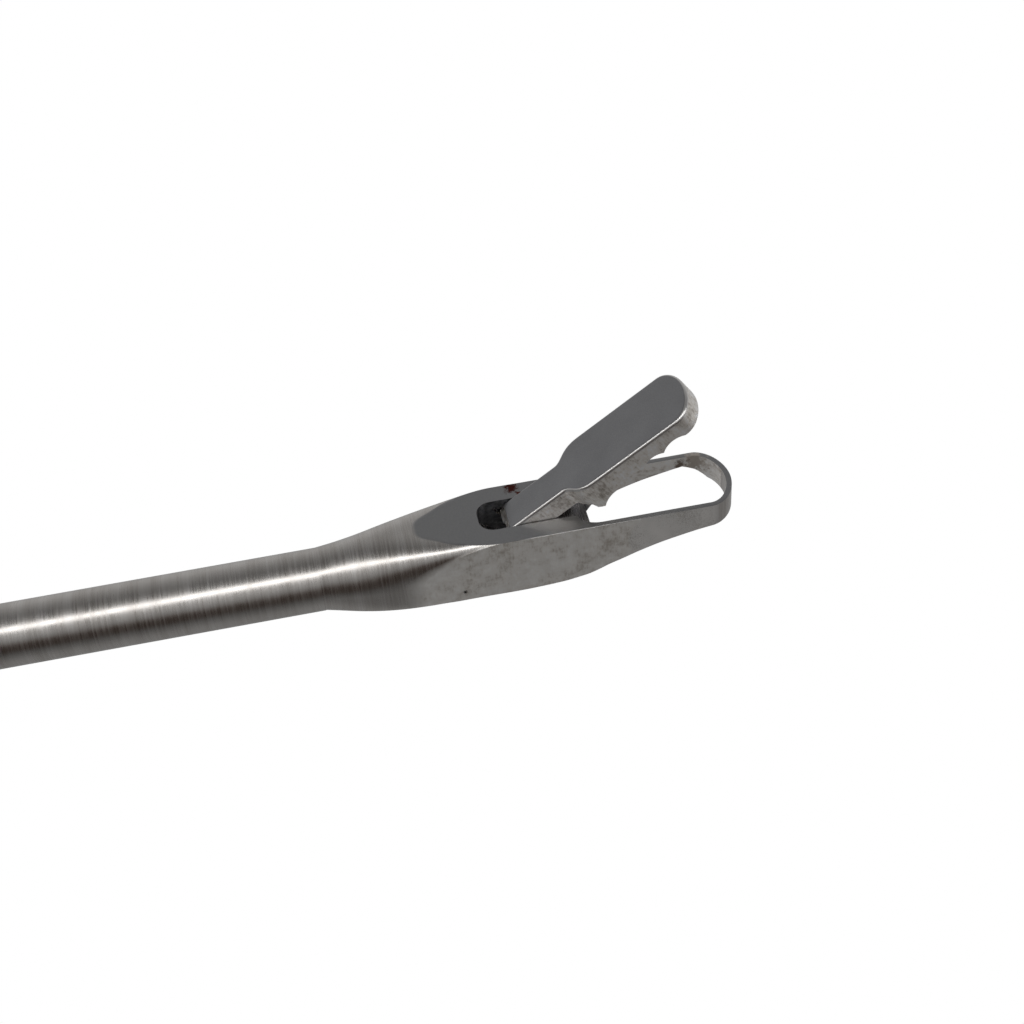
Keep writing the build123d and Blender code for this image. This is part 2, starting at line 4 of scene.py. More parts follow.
import bmesh
import bpy
import numpy as np
from mathutils import Matrix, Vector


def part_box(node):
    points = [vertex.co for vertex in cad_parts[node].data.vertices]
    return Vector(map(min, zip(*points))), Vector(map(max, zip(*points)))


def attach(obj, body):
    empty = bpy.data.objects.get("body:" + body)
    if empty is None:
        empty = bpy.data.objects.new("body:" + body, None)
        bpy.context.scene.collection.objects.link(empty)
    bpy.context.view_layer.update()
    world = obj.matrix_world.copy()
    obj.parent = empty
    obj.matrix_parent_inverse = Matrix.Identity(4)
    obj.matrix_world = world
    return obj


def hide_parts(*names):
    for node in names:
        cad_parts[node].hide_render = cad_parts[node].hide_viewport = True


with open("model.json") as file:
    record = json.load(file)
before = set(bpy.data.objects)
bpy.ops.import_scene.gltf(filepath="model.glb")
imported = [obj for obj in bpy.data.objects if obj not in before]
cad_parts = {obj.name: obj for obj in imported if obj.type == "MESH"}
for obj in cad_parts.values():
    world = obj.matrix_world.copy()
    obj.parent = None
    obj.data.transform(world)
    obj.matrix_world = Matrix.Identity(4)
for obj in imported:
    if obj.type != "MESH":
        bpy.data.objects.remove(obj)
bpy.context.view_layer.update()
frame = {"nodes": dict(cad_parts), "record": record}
node = frame["nodes"]
MM = 0.001

# ---------------------------------------------------------------------------
# Shaft tube
# Stainless tube, 3.5 mm outside, drawn and then brushed round and round on a
# lathe. Soldered into the handle body behind, welded to the jaw head in front.
# ---------------------------------------------------------------------------


def linear(hex_colour):
    """sRGB hex to linear RGBA."""
    c = np.array([int(hex_colour[i:i + 2], 16) for i in (0, 2, 4)]) / 255.0
    c = np.where(c <= 0.04045, c / 12.92, ((c + 0.055) / 1.055) ** 2.4)
    return (*c.tolist(), 1.0)


def add(tree, kind, inputs, stops=None, out=0, **settings):
    """Adds a shader node and returns one of its outputs.

    Inputs are values or sockets to link, by name or number. Stops are (place, sRGB hex)
    pairs for a ramp, in rising order, and the other settings are the node's own properties.
    """
    n = tree.nodes.new("ShaderNode" + kind)
    for key, value in settings.items():
        setattr(n, key, value)
    for key, value in inputs.items():
        if isinstance(value, bpy.types.NodeSocket):
            tree.links.new(value, n.inputs[key])
        else:
            n.inputs[key].default_value = value
    for number, (place, colour) in enumerate(stops or []):
        if number > 1:
            n.color_ramp.elements.new(place)
        n.color_ramp.elements[number].position = place
        n.color_ramp.elements[number].color = linear(colour)
    return n.outputs[out]


def steel(tree, colour, roughness, height, bump_mm, strength):
    """Closes a metal's tree: colour and roughness sockets, and a height socket in bump_mm."""
    normal = add(tree, "Bump", {"Height": height, "Strength": strength, "Distance": bump_mm * MM})
    surface = add(tree, "BsdfPrincipled", {"Base Color": colour, "Roughness": roughness, "Metallic": 1.0,
                                           "Normal": normal})
    add(tree, "OutputMaterial", {"Surface": surface}, out=slice(0, 0))


def new_tree(name):
    """An empty material and its node tree."""
    m = bpy.data.materials.new(name)
    m.use_nodes = True
    m.node_tree.nodes.clear()
    return m, m.node_tree


def lathe_rings(tree, axis, size_mm, stretch, detail=3.0):
    """Noise drawn out into fine rings: size_mm apart along one axis, stretch times longer across it."""
    scale = [1.0 / (stretch * size_mm * MM)] * 3
    scale["XYZ".index(axis)] = 1.0 / (size_mm * MM)
    place = add(tree, "TexCoord", {}, out="Object")
    mapped = add(tree, "Mapping", {"Vector": place, "Scale": scale})
    return add(tree, "TexNoise", {"Vector": mapped, "Scale": 1.0, "Detail": detail, "Roughness": 0.6})


def brushing(tree, axis, low, middle, high):
    """Rings 0.1 mm apart along an axis, and the colour they give: fine rings over slower bands
    where the wheel passed less often."""
    rings = lathe_rings(tree, axis, 0.10, 25)
    bands = lathe_rings(tree, axis, 0.9, 12, 2.0)
    fine = add(tree, "MapRange", {0: rings, 1: 0.3, 2: 0.7, 3: -0.15, 4: 0.15})
    slow = add(tree, "MapRange", {0: bands, 1: 0.35, 2: 0.65, 3: 0.35, 4: 0.65})
    tone = add(tree, "Math", {0: fine, 1: slow}, operation="ADD")
    return rings, add(tree, "ValToRGB", {0: tone}, stops=[(0.2, low), (0.5, middle), (0.8, high)])


def lathe_brushed(name, axis, low, middle, high, roughness):
    """Stainless brushed on a lathe: the rings break up the highlight, and handling leaves the
    metal a little duller in slow patches."""
    m, t = new_tree(name)
    rings, colour = brushing(t, axis, low, middle, high)
    handling = lathe_rings(t, axis, 2.5, 1.5, 4.0)
    dull = add(t, "MapRange", {0: handling, 1: 0.4, 2: 0.7, 3: roughness, 4: roughness + 0.08})
    ringed = add(t, "MapRange", {0: rings, 1: 0.3, 2: 0.7, 3: -0.05, 4: 0.07})
    rough = add(t, "Math", {0: dull, 1: ringed}, operation="ADD")
    steel(t, colour, rough, rings, 0.006, 0.3)
    return m


def wear(name, *materials):
    """Gives a CAD node its materials in place of the plain packed one."""
    node[name].data.materials.clear()
    for m in materials:
        node[name].data.materials.append(m)


tube_tones = "b0aba6", "c3bfbb", "d2cfcc"
tube_steel = lathe_brushed("stainless_lathe_brushed", "X", *tube_tones, 0.25)
wear("shaft_tube", tube_steel)

# ---------------------------------------------------------------------------
# Jaw head
# Turned from one stainless bar, its flats ground by hand: a fine dark top, side
# flats with upright grinding streaks, and a loop whose inside is rough milled.
# The side flats and the loop's walls are painted brighter as painted light, and the slot and ledge darker as
# painted shade.
# ---------------------------------------------------------------------------
head_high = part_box("jaw_head")[1]
head_top = head_high.z / MM
head_side = head_high.y / MM
jaw_joint = next(j for j in frame["record"]["behaviour"]["joints"] if j["name"] == "jaw_close")
jaw_pivot = jaw_joint["pos_m"]
pivot_x, pivot_z = jaw_pivot[0] / MM, jaw_pivot[2] / MM
pivot_ahead = 6.55              # the jaw's pivot from head_x, where the head's lengths start
head_x = pivot_x - pivot_ahead
flare_back = -4.4
tube_radius = 1.75
spigot_radius = 1.25
spigot_length = 5.0
loop_centre = 17.10
loop_reach = head_high.x / MM - head_x - loop_centre
loop_wall = 0.30
loop_square = 1.9               # exponent of the loop's tip: 2 would be an ellipse
rod_bore = 0.83
hub_bore = 2.0                  # the round seat of the jaw's hub
neck_floor = 0.944              # the slot's floor, from neck_start to slot_end ahead of the pivot
neck_start = 1.5
slot_end = 3.6
lug_groove = 0.57, 1.03         # inner and outer radius of the lugs' grooves about the pivot
lug_reach = 1.58
slot_half = 1.15
slot_corner = 0.85
window_rear = 9.88
window_corner = 1.20
ledge_front = 10.80
ledge_top = 0.40
bevel_height = 0.85
bevel_start = 10.6
bevel_end = 17.3
bevel_fade = 5.3
far_lift = 0.66                 # how much more of its foot the +Y wall loses
far_end = 18.0
far_fade = 1.4
past_bottom, past_top = -3.0, 4.0
underside = [
    (-4.4, -1.75), (-2.4, -1.70), (-0.4, -1.54), (1.4, -1.39), (3.2, -1.32), (7.2, -1.32), (8.2, -1.27),
    (9.0, -1.20), (9.6, -1.10), (10.2, -0.98), (10.75, -0.78), (11.3, -0.55), (11.9, -0.35), (13.0, 0.04),
    (14.1, 0.37), (15.3, 0.64), (16.4, 0.85), (17.4, 0.98), (18.9, 1.05),
]


def smooth(x, stations):
    """A smooth line through (x, value) stations: cubic pieces whose slopes are those of the chords
    on both sides, held level past the ends."""
    xs, ys = np.array(stations, float).T
    slopes = np.gradient(ys, xs)
    x = np.clip(x, xs[0], xs[-1])
    i = np.clip(np.searchsorted(xs, x) - 1, 0, len(xs) - 2)
    h = xs[i + 1] - xs[i]
    u = (x - xs[i]) / h
    return (ys[i] * (1 + 2 * u) * (1 - u) ** 2 + slopes[i] * h * u * (1 - u) ** 2
            + ys[i + 1] * u * u * (3 - 2 * u) - slopes[i + 1] * h * u * u * (1 - u))


def closed_mesh(name, grid):
    """A mesh from rows of closed loops, in millimetres from head_x: neighbouring rows are joined by
    quads, both ends get a face, doubles are merged and the faces turned outwards."""
    rows, columns = grid.shape[:2]
    row, column = np.meshgrid(np.arange(rows - 1), np.arange(columns), indexing="ij")
    beside = (column + 1) % columns
    quads = np.stack([row * columns + column, row * columns + beside,
                      (row + 1) * columns + beside, (row + 1) * columns + column], -1).reshape(-1, 4)
    ends = [list(range(columns)), list(range((rows - 1) * columns, rows * columns))]
    mesh = bpy.data.meshes.new(name)
    points = (grid.reshape(-1, 3) + [head_x, 0, 0]) * MM
    mesh.from_pydata(points.tolist(), [], quads.tolist() + ends)
    tidy = bmesh.new()
    tidy.from_mesh(mesh)
    bmesh.ops.remove_doubles(tidy, verts=tidy.verts, dist=0.0005 * MM)
    bmesh.ops.dissolve_degenerate(tidy, edges=tidy.edges, dist=0.0002 * MM)
    bmesh.ops.recalc_face_normals(tidy, faces=tidy.faces)
    tidy.to_mesh(mesh)
    tidy.free()
    return mesh


def quarter(across, up, exponent, side, top):
    """A quarter of a superellipse, (y/across)^n + (z/up)^n = 1, cut off flat at side and top.

    Points run from the side to the top in three groups whose ends stay on the two creases:
    even steps of z up the side, even steps of angle round the corner, even steps of y in to
    the middle. All arguments are columns, one value per cross-section.
    """
    n = exponent
    corner_from = np.maximum(np.arccos(np.minimum(side / across, 1) ** (n / 2)), math.radians(14))
    corner_to = np.minimum(np.arcsin(np.minimum(top / up, 1) ** (n / 2)), math.radians(76))
    corner_to = np.maximum(corner_to, corner_from)
    rise = np.sin(corner_from) ** (2 / n) * np.linspace(0, 1, 14)[None, :-1]
    angle = corner_from + (corner_to - corner_from) * np.linspace(0, 1, 23)[None]
    run = np.cos(corner_to) ** (2 / n) * np.linspace(1, 0, 12)[None, 1:]
    y = np.hstack([(1 - rise ** n) ** (1 / n), np.cos(angle) ** (2 / n), run]) * across
    z = np.hstack([rise, np.sin(angle) ** (2 / n), (1 - run ** n) ** (1 / n)]) * up
    return np.minimum(y, side), np.minimum(z, top)


def head_outside():
    """Cross-sections along the head. Each is two superellipse halves, above and below a middle
    height: circles at the tube, squarer and squarer towards the loop, and cut off flat at the
    ground top, sides and underside. The tip narrows as a superellipse seen from above."""
    straight = np.linspace(flare_back, loop_centre, 300)
    bend = np.linspace(0, math.pi / 2, 26)[1:]
    x = np.r_[straight, loop_centre + loop_reach * np.sin(bend) ** (2 / loop_square)]
    narrow = np.r_[np.ones(300), np.cos(bend) ** (2 / loop_square)]
    narrow[-1] = 0
    x, narrow = x[:, None], narrow[:, None]
    corner = math.hypot(head_side, head_top)
    diagonal = smooth(x, [(-4.4, 1.75), (-3.3, 1.88), (-2.3, 2.04), (-0.6, 2.38), (0.5, 2.59), (1.8, 2.82),
                          (3.4, 3.08), (5.0, corner - 0.03), (7.5, corner - 0.012), (9.0, corner - 0.01)])
    up = smooth(x, [(-4.4, 1.75), (-3.4, 1.89), (-2.2, 2.07), (-1.0, 2.22), (0.2, 2.32), (1.2, head_top),
                    (2.4, 2.42), (3.8, 2.58), (6.0, 2.75), (9.0, 2.95)])
    across = up * head_side / head_top
    middle = smooth(x, [(5.0, 0.0), (8.0, 0.15), (12.0, 1.0), (17.0, 1.7)])
    under = smooth(x, underside)
    exponent = -1 / np.log2(np.clip(diagonal / np.hypot(across, up), 2 ** -0.5, 0.99))
    y_up, z_up = quarter(across, up, exponent, head_side, head_top)
    z_up = middle + z_up * (head_top - middle) / head_top
    share = smooth(x, [(-4.4, 0.7071), (-2.4, 0.83), (-0.4, 0.92), (1.4, 0.965), (4.0, 0.98), (9.0, 0.985)])
    low = middle - under
    y_low, z_low = quarter(across, low, -1 / np.log2(share), head_side, low)
    z_low = middle - z_low
    y = np.hstack([y_up[:, ::-1], y_low[:, 1:], -y_low[:, -2::-1], -y_up[:, 1:-1]]) * narrow
    z = np.hstack([z_up[:, ::-1], z_low[:, 1:], z_low[:, -2::-1], z_up[:, 1:-1]])
    rows = np.stack([np.broadcast_to(x, y.shape), y, z], -1)
    spigot = rows[:1] * [1, spigot_radius / tube_radius, spigot_radius / tube_radius]
    return np.concatenate([spigot - [spigot_length, 0, 0], spigot, rows])


def window_cutter():
    """The window seen from above: two rounded rear corners, straight sides and a superellipse end,
    as a column through the head; its lower part starts further forward, over the ledge."""
    inner = head_side - loop_wall
    shoulder = slot_half + 0.10
    rear = np.linspace(0, math.pi / 2, 14)
    end = np.linspace(math.pi / 2, -math.pi / 2, 61)
    reach = (loop_reach - loop_wall) * np.abs(np.cos(end)) ** (2 / loop_square)
    x = np.r_[window_rear + window_corner * (1 - np.cos(rear)), loop_centre + reach]
    y = np.r_[shoulder + (inner - shoulder) * np.sin(rear),
              inner * np.sign(np.sin(end)) * np.abs(np.sin(end)) ** (2 / loop_square)]
    x, y = np.r_[x, x[13::-1]], np.r_[y, -y[13::-1]]
    above = np.stack([x, y], -1)
    below = np.stack([np.maximum(x, ledge_front), y], -1)
    steps = [(below, past_bottom), (below, ledge_top), (above, ledge_top), (above, past_top)]
    return np.stack([np.c_[plan, np.full(len(x), z)] for plan, z in steps])


def slot_cutter():
    """The slot: across it from side to side, its floor is the round seat of the jaw's hub, then a
    straight run forward under the neck, and its rear end is rounded seen from above."""
    x = pivot_ahead + np.r_[hub_bore * np.sin(np.radians(np.linspace(-89.5, 62, 60))), slot_end]
    floor = pivot_z - np.sqrt(np.maximum(hub_bore ** 2 - (x - pivot_ahead) ** 2, 0))
    floor = np.where(x > pivot_ahead + neck_start, np.minimum(floor, neck_floor), floor)
    back = np.clip((x[0] + slot_corner - x) / slot_corner, 0, 1)
    half = slot_half - slot_corner + slot_corner * np.sqrt(1 - back ** 2)
    top = np.full(len(x), past_top)
    corners = [(-1, floor), (1, floor), (1, top), (-1, top)]
    return np.stack([np.stack([x, side * half, z], -1) for side, z in corners], 1)


def bore_cutter():
    """A round bore along X, from behind the spigot to under the hub."""
    angle = np.linspace(0, 2 * math.pi, 48, endpoint=False)
    ring = np.stack([0 * angle, rod_bore * np.cos(angle), rod_bore * np.sin(angle)], -1)
    return np.stack([ring + [flare_back - spigot_length - 1, 0, 0], ring + [pivot_ahead + 1.7, 0, 0]])


def groove_cutter():
    """The curved grooves for the lugs: a ring sector about the pivot, right across the slot."""
    angle = np.radians(np.linspace(-163, -2, 40))[:, None]
    inner, outer = lug_groove
    radius = np.array([inner, outer, outer, inner])
    x = pivot_ahead + np.cos(angle) * radius
    z = pivot_z + np.sin(angle) * radius
    y = np.broadcast_to([-lug_reach, -lug_reach, lug_reach, lug_reach], x.shape)
    return np.stack([x, y, z], -1)


def bevel_cutter():
    """The loop's lower edge, ground off: a wedge between the walls that is widest and deepest behind
    and dies out towards the tip, and that takes the foot of the +Y wall away as it goes."""
    x = np.linspace(10.75, 17.9, 28)
    z = smooth(x, [(at, low) for at, low in underside if 10.7 < at < 17.5]) - 0.012
    height = bevel_height * np.clip((bevel_end - x) / bevel_fade, 0.01, 1)
    lift = far_lift * np.minimum(np.minimum(1, (x - bevel_start) / 0.9), (far_end - x) / far_fade)
    outer, inner = head_side + 0.1, head_side - loop_wall - 0.02
    corners = [(outer, z - 0.05), (outer, z + lift), (inner, z + 1.3 * lift), (-inner, z + height),
               (0.06 - head_side, z)]
    return np.stack([np.stack([x, np.full(len(x), y), at], -1) for y, at in corners], 1)


def cut(mesh, cutters):
    """The mesh with each closed cutter taken away, as one clean mesh with smooth shading and
    edges sharper than 28 degrees kept sharp."""
    work = bpy.data.objects.new("work", mesh)
    bpy.context.scene.collection.objects.link(work)
    tools = []
    for cutter in cutters:
        tool = bpy.data.objects.new("tool", cutter)
        bpy.context.scene.collection.objects.link(tool)
        tools.append(tool)
        modifier = work.modifiers.new("cut", "BOOLEAN")
        modifier.object = tool
        modifier.solver = "EXACT"
    bpy.context.view_layer.update()
    result = bpy.data.meshes.new_from_object(work.evaluated_get(bpy.context.evaluated_depsgraph_get()))
    for left in [work, *tools]:
        bpy.data.objects.remove(left)
    result.shade_smooth()
    result.set_sharp_from_angle(angle=math.radians(28))
    return result


way_floor, way_roof = 1.10, 1.63
way_ends = [(-lug_reach, way_floor), (lug_reach, way_floor), (lug_reach, way_roof), (-lug_reach, way_roof)]
lug_way = np.array([[(x, y, z) for y, z in way_ends] for x in (pivot_ahead, window_rear + 0.1)])
head_mesh = cut(closed_mesh("head_blank", head_outside()), [
    closed_mesh("window", window_cutter()), closed_mesh("slot", slot_cutter()),
    closed_mesh("bore", bore_cutter()), closed_mesh("groove", groove_cutter()),
    closed_mesh("way", lug_way), closed_mesh("bevel", bevel_cutter()),
])
head_mesh.name = "jaw_head_ground"
jaw_head = bpy.data.objects.new("jaw_head_ground", head_mesh)
bpy.context.scene.collection.objects.link(jaw_head)
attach(jaw_head, "frame")
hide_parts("jaw_head")


def stain(tree, place, centre_mm, reach_mm, ragged):
    """A spot round a point: 1 at its middle, 0 past its reach, with an edge broken up by noise."""
    centre = [c * MM for c in centre_mm]
    away = add(tree, "VectorMath", {0: place, 1: centre}, operation="DISTANCE", out="Value")
    edge = add(tree, "MapRange", {0: ragged, 1: 0.3, 2: 0.7, 3: -0.6 * reach_mm * MM, 4: 0.6 * reach_mm * MM})
    blurred = add(tree, "Math", {0: away, 1: edge}, operation="ADD")
    return add(tree, "MapRange", {0: blurred, 1: reach_mm * MM, 2: 0.45 * reach_mm * MM, 3: 0.0, 4: 1.0})


head_steel, t = new_tree("stainless_hand_ground")
place = add(t, "TexCoord", {}, out="Object")
normal = add(t, "TexCoord", {}, out="Normal")
x, y, z = (add(t, "SeparateXYZ", {0: place}, out=i) for i in range(3))
normal_y = add(t, "SeparateXYZ", {0: normal}, out=1)
# the turned flare carries on from the tube
rings, flare_colour = brushing(t, "X", *tube_tones)
upright = lathe_rings(t, "Z", 0.45, 0.22, 5.0)
along = lathe_rings(t, "Z", 0.20, 3.0, 5.0)
cloud = add(t, "TexNoise", {"Vector": place, "Scale": 1 / (1.9 * MM), "Detail": 4.0, "Roughness": 0.55})
mottle = add(t, "TexNoise", {"Vector": place, "Scale": 1 / (0.42 * MM), "Detail": 6.0, "Roughness": 0.68})
grain = add(t, "TexNoise", {"Vector": place, "Scale": 1 / (0.05 * MM), "Detail": 2.0})
ragged = add(t, "TexNoise", {"Vector": place, "Scale": 1 / (0.35 * MM), "Detail": 4.0, "Roughness": 0.7})

# side flats: streaks and mottle, in tones brightened close to white as painted light where the light falls on
# the sides
streaks = add(t, "Math", {0: upright, 1: 0.5, 2: mottle}, operation="MULTIPLY_ADD")
streaks = add(t, "Math", {0: cloud, 1: 0.8, 2: streaks}, operation="MULTIPLY_ADD")
streak_tone = add(t, "MapRange", {0: streaks, 1: 0.85, 2: 1.35, 3: 0.0, 4: 1.0})
side_grind_and_light = add(t, "ValToRGB", {0: streak_tone}, stops=[(0.0, "d5cec5"), (0.5, "f8f5f0"), (1.0, "fffefb")])
# the loop's own flat was ground again, finer and flatter; its tones are also brightened as painted light
patch = add(t, "Math", {0: cloud, 1: grain}, operation="ADD")
patch_grind_and_light = add(t, "ValToRGB", {0: patch}, stops=[(0.75, "d8d5d0"), (0.95, "efedea"), (1.0, "f7f5f2")])
curve = add(t, "Math", {0: z, 1: 0.9 * MM}, operation="SUBTRACT")
bow = add(t, "Math", {0: curve, 1: curve}, operation="MULTIPLY")
bowed = add(t, "Math", {0: bow, 1: -0.35 / MM, 2: x}, operation="MULTIPLY_ADD")
loop_ground = add(t, "MapRange", {0: bowed, 1: (head_x + 12.3) * MM, 2: (head_x + 12.5) * MM})
side_grind_and_light = add(t, "Mix", {0: loop_ground, 6: side_grind_and_light, 7: patch_grind_and_light}, data_type="RGBA", out=2)
# top flat: fine and dark
top_colour = add(t, "ValToRGB", {0: grain}, stops=[(0.25, "8f8f90"), (0.75, "9d9d9e")])
# inside of the window and slot: milled mottle, brightened as painted light on the loop's walls and darkened
# as painted shade in the slot and on the ledge behind it
milled = add(t, "Math", {0: along, 1: 0.6, 2: mottle}, operation="MULTIPLY_ADD")
milled = add(t, "Math", {0: cloud, 1: 0.7, 2: milled}, operation="MULTIPLY_ADD")
milled = add(t, "MapRange", {0: milled, 1: 0.90, 2: 1.40})
wall_mill_and_light = add(t, "ValToRGB", {0: milled}, stops=[(0.0, "c9c1b8"), (0.5, "fbf8f4"), (1.0, "ffffff")])
slot_mill_and_shade = add(t, "ValToRGB", {0: milled}, stops=[(0.0, "4a4b4e"), (0.5, "737478"), (1.0, "97989b")])
in_loop = add(t, "MapRange", {0: x, 1: (head_x + 10.9) * MM, 2: (head_x + 11.6) * MM})
inner_light_and_shade = add(t, "Mix", {0: in_loop, 6: slot_mill_and_shade, 7: wall_mill_and_light}, data_type="RGBA", out=2)

on_top = add(t, "MapRange", {0: z, 1: (head_top - 0.016) * MM, 2: (head_top - 0.003) * MM})
wide = add(t, "Math", {0: y}, operation="ABSOLUTE")
on_side = add(t, "MapRange", {0: wide, 1: (head_side - 0.08) * MM, 2: (head_side - 0.004) * MM})
facing_in = add(t, "Math", {0: normal_y, 1: y}, operation="MULTIPLY")
inside = add(t, "Math", {0: facing_in, 1: -0.1 * MM}, operation="LESS_THAN")
colour = add(t, "Mix", {0: on_side, 6: flare_colour, 7: side_grind_and_light}, data_type="RGBA", out=2)
colour = add(t, "Mix", {0: inside, 6: colour, 7: inner_light_and_shade}, data_type="RGBA", out=2)
colour = add(t, "Mix", {0: on_top, 6: colour, 7: top_colour}, data_type="RGBA", out=2)
# rust on the top flat, brown smudges inside the loop's tip, grime at the slot, a nick on the side
spots = [
    (6.8, 1.95, head_top, 0.45, "4a1d16"), (7.2, 1.4, head_top, 0.28, "5a2a20"),
    (17.3, 1.85, 1.9, 0.80, "cbc2b9"), (16.5, 2.02, 1.95, 0.42, "8d8075"),
    (7.6, -1.16, 2.0, 0.30, "3f2c16"), (3.2, -2.32, -0.7, 0.16, "3d3a37"),
]
for ahead, beside, high, reach, stain_colour in spots:
    spot = stain(t, place, (head_x + ahead, beside, high), reach, ragged)
    colour = add(t, "Mix", {0: spot, 6: colour, 7: linear(stain_colour)}, data_type="RGBA", out=2)

side_rough = add(t, "MapRange", {0: mottle, 1: 0.3, 2: 0.7, 3: 0.40, 4: 0.58})
flare_rough = add(t, "MapRange", {0: rings, 1: 0.3, 2: 0.7, 3: 0.21, 4: 0.33})
rough = add(t, "Mix", {0: on_side, 2: flare_rough, 3: side_rough})
rough = add(t, "Mix", {0: inside, 2: rough, 3: 0.48})
rough = add(t, "Mix", {0: on_top, 2: rough, 3: 0.38})
height = add(t, "Mix", {0: on_side, 2: rings, 3: mottle})
height = add(t, "Mix", {0: inside, 2: height, 3: mottle})
height = add(t, "Mix", {0: on_top, 2: height, 3: grain})
steel(t, colour, rough, height, 0.006, 0.3)
head_mesh.materials.append(head_steel)

# ---------------------------------------------------------------------------
# Upper jaw
# Milled from stainless bar: top stoned to a fine satin with a polished edge, the
# sides and the teeth left as the cutter made them. Its lugs ride in the head.
# The sides' tones are brightened as painted light.
# ---------------------------------------------------------------------------
jaw_angle = math.radians(jaw_joint["range_deg"][1])

jaw_steel, t = new_tree("stainless_stoned_and_milled")
place = add(t, "TexCoord", {}, out="Object")
local = add(t, "VectorMath", {0: place, 1: jaw_pivot}, operation="SUBTRACT")
local = add(t, "Mapping", {"Vector": local, "Rotation": (0.0, jaw_angle, 0.0)})
above = add(t, "SeparateXYZ", {0: local}, out=2)
grain = add(t, "TexNoise", {"Vector": local, "Scale": 1 / (0.05 * MM), "Detail": 2.0})
cloud = add(t, "TexNoise", {"Vector": local, "Scale": 1 / (2.5 * MM), "Detail": 3.0})
mottle = add(t, "TexNoise", {"Vector": local, "Scale": 1 / (0.35 * MM), "Detail": 6.0, "Roughness": 0.7})
smudge = add(t, "TexNoise", {"Vector": local, "Scale": 1 / (1.6 * MM), "Detail": 4.0})
cutter = add(t, "Mapping", {"Vector": local, "Rotation": (0.0, 0.6, 0.0),
                            "Scale": (1 / (0.12 * MM), 1 / (0.4 * MM), 1 / (0.45 * MM))})
cutter = add(t, "TexNoise", {"Vector": cutter, "Scale": 1.0, "Detail": 3.0})
top_colour = add(t, "ValToRGB", {0: cloud}, stops=[(0.3, "8b8b8d"), (0.7, "949496")])
grit = add(t, "MapRange", {0: grain, 1: 0.3, 2: 0.7, 3: 0.9, 4: 1.1})
top_colour = add(t, "Mix", {0: 1.0, 6: top_colour, 7: grit}, data_type="RGBA", blend_type="MULTIPLY", out=2)
milled = add(t, "Math", {0: cutter, 1: 0.55, 2: mottle}, operation="MULTIPLY_ADD")
milled = add(t, "Math", {0: smudge, 1: 0.7, 2: milled}, operation="MULTIPLY_ADD")
milled = add(t, "MapRange", {0: milled, 1: 0.90, 2: 1.36})
# the milled sides and teeth, their tones brightened close to white as painted light where light falls on them
skirt_mill_and_light = add(t, "ValToRGB", {0: milled}, stops=[(0.0, "beb7af"), (0.5, "f3efe9"), (1.0, "ffffff")])
jaw_plane = 0.24 * MM
on_top = add(t, "MapRange", {0: above, 1: jaw_plane - 0.02 * MM, 2: jaw_plane - 0.004 * MM})
on_edge = add(t, "MapRange", {0: above, 1: jaw_plane - 0.22 * MM, 2: jaw_plane - 0.14 * MM})
edge_colour = linear("d6d4d2")
colour = add(t, "Mix", {0: on_edge, 6: skirt_mill_and_light, 7: edge_colour}, data_type="RGBA", out=2)
colour = add(t, "Mix", {0: on_top, 6: colour, 7: top_colour}, data_type="RGBA", out=2)
rough = add(t, "Mix", {0: on_edge, 2: 0.5, 3: 0.30})
rough = add(t, "Mix", {0: on_top, 2: rough, 3: 0.36})
height = add(t, "Mix", {0: on_edge, 2: milled, 3: grain})
steel(t, colour, rough, height, 0.01, 0.35)
wear("upper_jaw", jaw_steel)

# ---------------------------------------------------------------------------
# Drive rod, its link pin and the ferrule
# Ground stainless rod that slides in the tube and pulls the jaw by a pressed pin;
# the ferrule is a turned collar soldered over the tube against the handle body.
# ---------------------------------------------------------------------------
ground_tones = "b9b6b3", "c8c5c2", "d4d2d0"
pin_steel = lathe_brushed("stainless_ground_pin", "Y", *ground_tones, 0.18)
wear("drive_rod", lathe_brushed("stainless_ground_rod", "X", *ground_tones, 0.20))
wear("jaw_link_pin", pin_steel)
wear("rod_clevis_pin", pin_steel)
wear("shaft_ferrule", tube_steel)

# ---------------------------------------------------------------------------
# Bush and washers
# Bearing bronze, turned and pressed or laid in place; brown where oil has aged it.
# ---------------------------------------------------------------------------
bronze, t = new_tree("bearing_bronze_turned")
place = add(t, "TexCoord", {}, out="Object")
pores = add(t, "TexNoise", {"Vector": place, "Scale": 1 / (0.15 * MM), "Detail": 3.0})
aged = add(t, "TexNoise", {"Vector": place, "Scale": 1 / (2.0 * MM), "Detail": 3.0})
bright = add(t, "ValToRGB", {0: aged}, stops=[(0.35, "a8824f"), (0.65, "c9a36a")])
dark = add(t, "MapRange", {0: pores, 1: 0.62, 2: 0.72, 3: 0.0, 4: 0.6})
colour = add(t, "Mix", {0: dark, 6: bright, 7: linear("5b4020")}, data_type="RGBA", out=2)
rough = add(t, "MapRange", {0: pores, 1: 0.3, 2: 0.7, 3: 0.28, 4: 0.45})
steel(t, colour, rough, pores, 0.005, 0.3)
for name in ("rod_guide_bush", "pivot_washer_near", "pivot_washer_far"):
    wear(name, bronze)

# ---------------------------------------------------------------------------
# Handle body and ring handles
# Forged stainless, machined, then blasted with fine glass beads to an even satin
# that hides fingerprints; the rings are burnished where fingers rub them.
# ---------------------------------------------------------------------------


